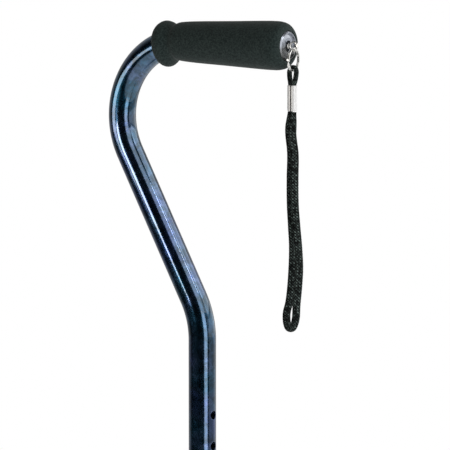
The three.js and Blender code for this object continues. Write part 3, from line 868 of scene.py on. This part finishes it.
class DrilledTube:
    """The tube's skin with its two rows of round holes, as one clean mesh.

    Columns run round the tube from +X, and rows run along it. Each hole sits in a square patch of
    the grid, whose rim is joined to the hole's edge by rings."""

    COLUMNS = 64
    HALF_PATCH = 5
    ROWS_A_PITCH = 22
    ROW = HOLE_PITCH / ROWS_A_PITCH  # the length of a row in the drilled part
    RIM_R = HOLE_R + 0.28 * MM  # where the hole's edge starts to round over
    EDGE_R = HOLE_R + 0.1 * MM

    def __init__(self):
        self.vertices = []
        self.flow = []
        self.faces = []
        length = HANDLE_PATH.length
        bend_end = HANDLE_PATH.runs[-1][0]
        first_hole_at = length - (FIRST_HOLE_Z - TUBE_BOTTOM)
        above = int((first_hole_at - bend_end) / self.ROW)
        below = math.ceil((length - first_hole_at) / self.ROW)
        upper_end = first_hole_at - above * self.ROW - 0.5 * MM
        upper = [s for s in HANDLE_PATH.stations(4 * MM, 1.5 * MM) if s < upper_end]
        drilled = [first_hole_at + i * self.ROW for i in range(-above, below)]
        drilled = [s for s in drilled if s < length - 0.8 * MM]
        self.stations = upper + drilled + [length]
        self.hole_rows = [len(upper) + above + i * self.ROWS_A_PITCH for i in range(HOLE_COUNT)]

    def vertex(self, position, flow):
        self.vertices.append(position)
        self.flow.append(flow)
        return len(self.vertices) - 1

    def skin(self, radius):
        """Adds the grid at that radius without its patches, and returns its first vertex."""
        start = len(self.vertices)
        for s in self.stations:
            point, tangent = HANDLE_PATH.at(s)
            front = np.cross(tangent, SIDE)
            for j in range(self.COLUMNS):
                t = TAU * j / self.COLUMNS
                x, y = radius * math.cos(t), radius * math.sin(t)
                self.vertex(point + x * front + y * SIDE, (x, y, s))
        open_cells = set()
        reach = self.HALF_PATCH
        for row in self.hole_rows:
            for centre in (0, self.COLUMNS // 2):
                for i in range(-reach, reach):
                    for j in range(-reach, reach):
                        open_cells.add((row + i, (centre + j) % self.COLUMNS))
        for i in range(len(self.stations) - 1):
            for j in range(self.COLUMNS):
                if (i, j) in open_cells:
                    continue
                k = (j + 1) % self.COLUMNS
                a, b = start + i * self.COLUMNS, start + (i + 1) * self.COLUMNS
                self.faces.append((a + j, a + k, b + k, b + j))
        return start

    def rim(self, start, row, centre):
        """The vertices round a patch, with each one's place as (column, row) from its middle."""
        n, columns = self.HALF_PATCH, self.COLUMNS
        places = [(j, -n) for j in range(-n, n)] + [(n, i) for i in range(-n, n)]
        places += [(j, n) for j in range(n, -n, -1)] + [(-n, i) for i in range(n, -n, -1)]
        numbers = [start + (row + i) * columns + (centre + j) % columns for j, i in places]
        return numbers, places

    def ring(self, radius, places, row, sign, size, rim_share):
        """A loop of the hole at that size, drawn towards the patch's rim by rim_share."""
        station = self.stations[row]
        z = HANDLE_PATH.at(station)[0][2]
        numbers = []
        for j, i in places:
            rim_angle, rim_down = TAU * j / self.COLUMNS, i * self.ROW
            t = math.atan2(rim_down, rim_angle * radius)
            hole_angle = math.asin(size * math.cos(t) / radius)
            angle = hole_angle + (rim_angle - hole_angle) * rim_share
            down = size * math.sin(t) + (rim_down - size * math.sin(t)) * rim_share
            x, y = radius * math.cos(angle), radius * math.sin(angle)
            position = np.array((SHAFT.x + sign * x, SHAFT.y + sign * y, z - down))
            numbers.append(self.vertex(position, (sign * x, sign * y, station + down)))
        return numbers

    def join(self, first, second):
        """Faces between two loops of vertices."""
        for j in range(len(first)):
            k = (j + 1) % len(first)
            self.faces.append((first[j], first[k], second[k], second[j]))

    def make(self):
        outer, inner = self.skin(TUBE_R), self.skin(TUBE_BORE)
        last = (len(self.stations) - 1) * self.COLUMNS
        for edge in (0, last):
            self.join(
                [outer + edge + j for j in range(self.COLUMNS)],
                [inner + edge + j for j in range(self.COLUMNS)],
            )
        for row in self.hole_rows:
            for centre, sign in ((0, 1), (self.COLUMNS // 2, -1)):
                rim, places = self.rim(outer, row, centre)
                loops = [(TUBE_R, self.RIM_R, share) for share in (0.62, 0.3, 0.1, 0.0)]
                loops += [(TUBE_R - 0.08 * MM, self.EDGE_R, 0.0), (TUBE_R - 0.28 * MM, HOLE_R, 0.0)]
                loops += [(TUBE_BORE, HOLE_R, 0.0), (TUBE_BORE, HOLE_R, 0.5)]
                rings = [rim]
                for radius, size, share in loops:
                    rings.append(self.ring(radius, places, row, sign, size, share))
                rings.append(self.rim(inner, row, centre)[0])
                for first, second in zip(rings, rings[1:]):
                    self.join(first, second)
        return piece(
            "painted_tube",
            self.vertices,
            self.faces,
            PAINT,
            "handle",
            ["upper_tube"],
            attributes={"flow": np.array(self.flow)},
        )


DrilledTube().make()


# ---- Foam grip and end cap ----

# (distance from the free end, radius) in millimetres, as in the CAD outline.
GRIP_OUTLINE = [
    (-1.2, 12.6), (-0.9, 14.2), (0.2, 16.2), (2.4, 18), (6, 19),
    (13, 19.3), (22, 19.1), (35, 18.6), (49, 18), (65, 17.4),
    (81, 16.8), (89, 16.4), (95, 16), (101, 15.3), (104.5, 14.3),
    (107.2, 15.1), (110.3, 17.2), (113.3, 18.5), (116, 18.2), (118.3, 16.9),
    (119.9, 14.8), (120.5, 12.9),
]
GRIP_BORE = 11.3
GRIP_MOUTH_R = 12.15  # round the end cap
GRIP_FOLLOW = 0.5  # how far the grip's sections turn with the tube's bend


def smooth_outline(corners, step):
    """Points about step apart on a smooth curve through the corners."""
    corners = np.array(corners, float)
    t = distances(corners)
    return list(through(corners, t, [max(2, math.ceil(wide / step)) for wide in np.diff(t)]))


def foam_grip():
    """The foam's skin and its bore, which follow the tube into its bend."""
    sides = 96
    outline = smooth_outline(GRIP_OUTLINE, 0.8)
    start, length = GRIP_OUTLINE[0][0], GRIP_OUTLINE[-1][0]
    outline += [(length + 0.15, 12.2), (length - 0.2, 11.6), (length - 1.2, GRIP_BORE)]
    outline += [(along, GRIP_BORE) for along in np.linspace(length - 4, 3, 40)]
    outline += [(1, GRIP_BORE), (0.6, GRIP_MOUTH_R), (start + 0.3, GRIP_MOUTH_R)]
    c, s = circle(sides)
    straight = np.array((-1.0, 0.0, 0.0))
    rows = []
    for along, radius in outline:
        point, tangent = HANDLE_PATH.at(max(0.0, along * MM))
        point = point + tangent * min(0.0, along * MM)
        across = unit(np.cross(SIDE, straight + (tangent - straight) * GRIP_FOLLOW))
        rows.append(point + radius * MM * (np.outer(c, across) + np.outer(s, SIDE)))
    faces = bridged(len(rows), sides, closed=True)
    vertices = np.concatenate(rows)
    made = piece("grip", vertices, faces, FOAM, "handle", ["foam_grip"], sharp=60)


foam_grip()

# A plug, a flange with a bevelled rim, and a low cone inside it with a recess round the shank.
lathe(
    "grip_end_cap",
    [
        (1.4, GRIP_TIP - 18, 0),
        (8.6, GRIP_TIP - 18, 0.4),
        (9.5, GRIP_TIP - 15, 0.3),
        (9.5, GRIP_TIP + 0.35, 0.1),
        (11.7, GRIP_TIP + 0.35, 0.2),
        (11.8, GRIP_TIP + 0.9, 0.3),
        (10.4, GRIP_TIP + 2.1, 0.5),
        (9.9, GRIP_TIP + 1.9, 0.4),
        (9.3, GRIP_TIP + 0.5, 0.3),
        (8, GRIP_TIP + 1, 3),
        (6.3, GRIP_TIP + 1.35, 3),
        (4.4, GRIP_TIP + 1.4, 0.3),
        (3.9, GRIP_TIP - 3.2, 0.2),
        (1.4, GRIP_TIP - 3.3, 0),
    ],
    96,
    (0, EYE.y, EYE.z),
    CAP,
    "handle",
    ["handle_end_cap"],
    axis="x",
)


# ---- Height lock, shaft and button ----

LOCK = (SHAFT.x, SHAFT.y, TUBE_BOTTOM)


def nut_ribs(angles, h):
    """Raised ribs round the nut, fading out at their ends."""
    count, low, high, depth, fade_length = 24, -9.6 * MM, 10.4 * MM, 0.75 * MM, 1.2 * MM
    fade = np.clip(min(h - low, high - h) / fade_length, 0, 1)
    wave = 0.5 + 0.5 * np.cos(count * angles)
    return depth * fade * np.clip((wave - 0.35) / 0.3, 0, 1)


def nut_corners():
    """The nut's section, with enough heights along its side for the ribs."""
    corners = [(9.9, -12.6, 0), (13.6, -12.6, 0.8), (15, -10.4, 0.8)]
    corners += [(15, z, 0) for z in np.linspace(-9.4, 10.2, 50)]
    corners += [(15, 11.4, 0.6), (14.3, 12.4, 0.4), (13.3, 12.4, 0.2)]
    return corners + [(13.3, -9.3, 0), (9.9, -9.3, 0), (9.9, -12.6, 0)]


lathe(
    "knurled_nut",
    nut_corners(),
    256,
    LOCK,
    BLACK,
    "lock_nut",
    ["lock_nut"],
    bulge=nut_ribs,
)
lathe(
    "lock_collar",
    [
        (9.9, -2.4, 0),
        (13, -2.4, 0.3),
        (13, 13.5, 0),
        (13, 20.2, 0.9),
        (12, 22.4, 0.6),
        (11.25, 22.4, 0.2),
        (11.25, -0.3, 0),
        (9.9, -0.3, 0),
        (9.9, -2.4, 0),
    ],
    96,
    LOCK,
    BLACK,
    "handle",
    ["collar_sleeve"],
)

# In millimetres.
LOWER_R = 9.525
LOWER_BORE = 8.325
LOWER_BOTTOM, LOWER_TOP = (end.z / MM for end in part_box("lower_tube"))
lathe(
    "inner_shaft",
    [
        (LOWER_BORE, LOWER_BOTTOM, 0),
        (LOWER_R, LOWER_BOTTOM, 0.3),
        (LOWER_R, LOWER_TOP, 0.3),
        (LOWER_BORE, LOWER_TOP, 0.3),
        (LOWER_BORE, LOWER_BOTTOM, 0),
    ],
    72,
    (SHAFT.x, SHAFT.y, 0),
    ALUMINIUM,
    "base",
    ["lower_tube"],
)
BUTTON = middle("snap_button")
lathe(
    "height_button",
    [
        (0, 5.8, 0),
        (3.8, 5.8, 0.2),
        (3.8, 7, 0.2),
        (3.1, 7, 0),
        (3.1, 12.0, 1.1),
        (1.7, 13.1, 0.8),
        (0, 13.3, 0),
    ],
    48,
    (SHAFT.x, SHAFT.y, BUTTON.z),
    CHROME,
    "button",
    ["snap_button"],
    axis="x",
)


def button_spring():
    """A V-shaped strip whose front arm bends on the real cane as the button is pressed. Here the
    front arm is on no body and stays as built, and the back arm rides on the base.
    """
    corners = [(5.2, 5), (-0.75, -37.7), (-2.25, -37.7), (-6.7, 5)]
    corners = [(SHAFT.x + x * MM, SHAFT.y, BUTTON.z + z * MM) for x, z in corners]
    path = Path(corners, [0.6 * MM] * 2)
    fold = path.length / 2
    places = path.stations(2 * MM, 0.1 * MM)
    section = oblong(3 * MM, 0.3 * MM, 0.2 * MM)
    arms = (
        ("spring_front_arm", [s for s in places if s < fold] + [fold], None, []),
        ("spring_back_arm", [fold] + [s for s in places if s > fold], "base", ["button_spring"]),
    )
    for name, stations, body, nodes in arms:
        points, tangents = zip(*(path.at(s) for s in stations))
        made = swept(name, points, tangents, SIDE, section, SPRING, body, nodes)
        if body is None:
            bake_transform(made)


button_spring()


# ---- Base ----


def block(name, low, high, corner, edge, material, nodes):
    """A slab with a rounded plan and rounded upper and lower edges."""
    centre_y, half_y = (low.y + high.y) / 2, (high.y - low.y) / 2
    rows = []
    for z0, up in ((low.z, 1), (high.z, -1)):
        arc = []
        for t in np.linspace(0, math.pi / 2, 6):
            inset = edge * (1 - math.sin(t))
            plan = oblong(high.x - inset, half_y - inset, corner - inset, steps=8)
            z = z0 + up * edge * (1 - math.cos(t))
            arc.append(np.array([(x, y + centre_y, z) for x, y in plan]))
        rows += arc[::up]
    count = len(rows[0])
    faces = bridged(len(rows), count)
    faces.append(tuple(range(count))[::-1])
    faces.append(tuple(range((len(rows) - 1) * count, len(rows) * count)))
    return piece(name, np.concatenate(rows), faces, material, "base", nodes)


HUB_LOW, HUB_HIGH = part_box("base_hub")
HUB_HIGH.z = 95 * MM  # the block's top, below the socket
PLATE_LOW, PLATE_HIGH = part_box("hub_clamp_plate")
HUB_CORNER = 7 * MM
HUB_EDGE = 2 * MM
block("hub_block", HUB_LOW, HUB_HIGH, HUB_CORNER, HUB_EDGE, CASTING, ["base_hub"])
block("clamp_plate", PLATE_LOW, PLATE_HIGH, HUB_CORNER, HUB_EDGE, CASTING, ["hub_clamp_plate"])
# Its lowest part is sunk in the block.
lathe(
    "hub_socket",
    [
        (0, 93, 0),
        (19, 93, 0),
        (17.4, 95.6, 2),
        (15, 99, 4),
        (15, 116, 0),
        (15, 128, 1.4),
        (11.2, 128, 0.9),
        (9.8, 127, 0.3),
        (9.8, 100, 0),
        (0, 100, 0),
    ],
    96,
    (SHAFT.x, SHAFT.y, 0),
    CASTING,
    "base",
)


KNEE_R = 22 * MM


def leg_bow(node, top_x, top_y, knee_z, foot_y):
    """A bent tube from one foot over the hub's clamp to the opposite foot."""
    foot_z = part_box(node)[0].z
    half = [(FOOT_X, foot_y, foot_z), (FOOT_X, foot_y, knee_z), (top_x, top_y, BOW_TOP_Z)]
    other = [(-x, y, z) for x, y, z in reversed(half)]
    path = Path(half + other, [KNEE_R] * 4)
    name = node.replace("_leg", "") + "_tube"
    pipe(name, path, BOW_R, BOW_BORE, COAT, "base", [node])


leg_bow("outer_leg_bow", 55 * MM, 5 * MM, 52 * MM, -FOOT_Y)
leg_bow("inner_leg_bow", 62 * MM, 45 * MM, 54 * MM, FOOT_Y)


def rubber_tip(node):
    """A flared rubber foot with round treads underneath and two soft rings."""
    centre = middle(node)
    treads = [(0, 0.9, 0), (3, 0.9, 0.2), (3.3, 0, 0.2), (5.3, 0, 0.2), (5.6, 1.6, 0.2)]
    treads += [(7, 1.6, 0.2), (7.3, 0, 0.2), (9.2, 0, 0.2), (9.5, 1.6, 0.2), (10.9, 1.6, 0.2)]
    skirt = [(11.2, 0, 0.2), (13.7, 0, 0.7), (14.5, 1.3, 0.7), (14.5, 4.6, 1.2), (12.9, 8, 2)]
    skirt += [(11.3, 12, 3), (10.9, 21.6, 0.8)]
    rings = [(11.9, 22.8, 0.6), (11.9, 25.4, 0.6), (10.7, 26.6, 0.8), (10.5, 29.6, 0.5)]
    rings += [(11.1, 30.4, 0.4), (11.1, 33, 0.7), (10.2, 34, 0.6), (8.35, 34, 0.5)]
    bore = [(8.0, 32.5, 0.2), (8.0, 8.5, 0), (0, 8.5, 0)]
    origin = (centre.x, centre.y, 0)
    name = node.replace("rubber_tip", "foot")
    corners = treads + skirt + rings + bore
    lathe(name, corners, 96, origin, RUBBER, "base", [node])


for end in ("front", "rear"):
    for side in ("outer", "inner"):
        rubber_tip(f"rubber_tip_{end}_{side}")


# ---- CAD pieces that stay as they are ----


def keep(node, material, bevel):
    """Gives a CAD node its material and softens its edges."""
    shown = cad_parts[node]
    shown.data.materials.clear()
    shown.data.materials.append(material)
    softened = shown.modifiers.new("edges", "BEVEL")
    softened.width = bevel
    softened.segments = 3
    softened.limit_method = "ANGLE"
    softened.angle_limit = math.radians(40)


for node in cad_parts:
    if node.startswith(("clamp_bolt", "clamp_nut", "shaft_bolt", "shaft_nut")):
        keep(node, ZINC, 0.35 * MM)
    if node.startswith("tip_washer"):
        keep(node, ZINC, 0.1 * MM)
keep("compression_ring", BLACK, 0.2 * MM)


# ---- Studio ----


FLOOR_R = 1.6
LIGHT_DISTANCE = 1.5


def studio_floor():
    """A pale round floor, wide enough for every view and low enough to stay out of the main one."""
    data = bpy.data.meshes.new("floor")
    sides = 96
    edge = [(FLOOR_R * x, FLOOR_R * y, 0) for x, y in zip(*circle(sides))]
    data.from_pydata(edge, [], [tuple(range(sides))])
    n = Nodes("floor_paper")
    paper = n.noise(n.place(), 3, 3)
    n.set(Base_Color=n.grey(paper, (0.3, 0.84), (0.7, 0.88)), Roughness=0.85)
    n.set(Emission_Color=(1, 1, 1, 1), Emission_Strength=0.3)
    data.materials.append(n.material)
    floor = bpy.data.objects.new("floor", data)
    bpy.context.scene.collection.objects.link(floor)


def panel(name, turn, height, wide, high, glow, color=(1, 1, 1)):
    """A rectangular light, placed by its angles in degrees from the main view and from level.

    wide and high are the angles that it fills as seen from the shaft, and glow is its radiance."""
    back = direction(VIEW_AZIMUTH + turn, height)
    data = bpy.data.lights.new(name, "AREA")
    data.shape = "RECTANGLE"
    data.size = 2 * LIGHT_DISTANCE * math.tan(math.radians(wide) / 2)
    data.size_y = 2 * LIGHT_DISTANCE * math.tan(math.radians(high) / 2)
    data.energy = glow * math.pi * data.size * data.size_y
    data.color = color
    light = bpy.data.objects.new(name, data)
    light.location = AIM + back * LIGHT_DISTANCE
    light.rotation_mode = "QUATERNION"
    light.rotation_quaternion = back.to_track_quat("Z", "Y")
    bpy.context.scene.collection.objects.link(light)


def white_world(front, behind):
    """White to a camera. Its light on the object is front from the main view's side, and behind
    from the far side."""
    world = bpy.data.worlds.new("studio")
    bpy.context.scene.world = world
    world.use_nodes = True
    tree = world.node_tree
    backdrop = tree.nodes["Background"]
    backdrop.inputs["Color"].default_value = (1, 1, 1, 1)

    def node(kind, **settings):
        made = tree.nodes.new(kind)
        for key, value in settings.items():
            setattr(made, key, value)
        return made

    where = node("ShaderNodeTexCoord")
    facing = node("ShaderNodeVectorMath", operation="DOT_PRODUCT")
    facing.inputs[1].default_value = -direction(VIEW_AZIMUTH, 0)
    tree.links.new(where.outputs["Generated"], facing.inputs[0])
    level = node("ShaderNodeMapRange", interpolation_type="SMOOTHSTEP")
    for key, value in {"From Min": 0.1, "From Max": 0.8, "To Min": front, "To Max": behind}.items():
        level.inputs[key].default_value = value
    tree.links.new(facing.outputs["Value"], level.inputs["Value"])
    rays = node("ShaderNodeLightPath")
    seen = node("ShaderNodeMath", operation="MAXIMUM")
    tree.links.new(rays.outputs["Is Camera Ray"], seen.inputs[0])
    tree.links.new(level.outputs["Result"], seen.inputs[1])
    tree.links.new(seen.outputs[0], backdrop.inputs["Strength"])


studio_floor()
white_world(front=0.006, behind=0.3)
WARM = (1, 0.95, 0.87)
SOFT = (1, 0.98, 0.94)
panel("strip_right", 31, -5, 26, 40, 2.2)
panel("panel_right", 46, 31, 54, 32, 1.5, color=SOFT)
panel("lamp_right", 54, 40, 3, 11, 12)
panel("panel_high_right", 100, 27, 52, 30, 1.5, color=SOFT)
panel("panel_low_right", 100, -1, 90, 18, 0.5)
panel("panel_far_right", 102, -4, 90, 40, 0.3)
panel("panel_left", -80, 1.5, 28, 14, 3.2, color=WARM)
panel("panel_near_left", -52, 4, 15, 9, 9, color=WARM)
panel("key_top", 5, 56, 36, 20, 1.2)
bpy.context.scene.view_settings.view_transform = "Standard"
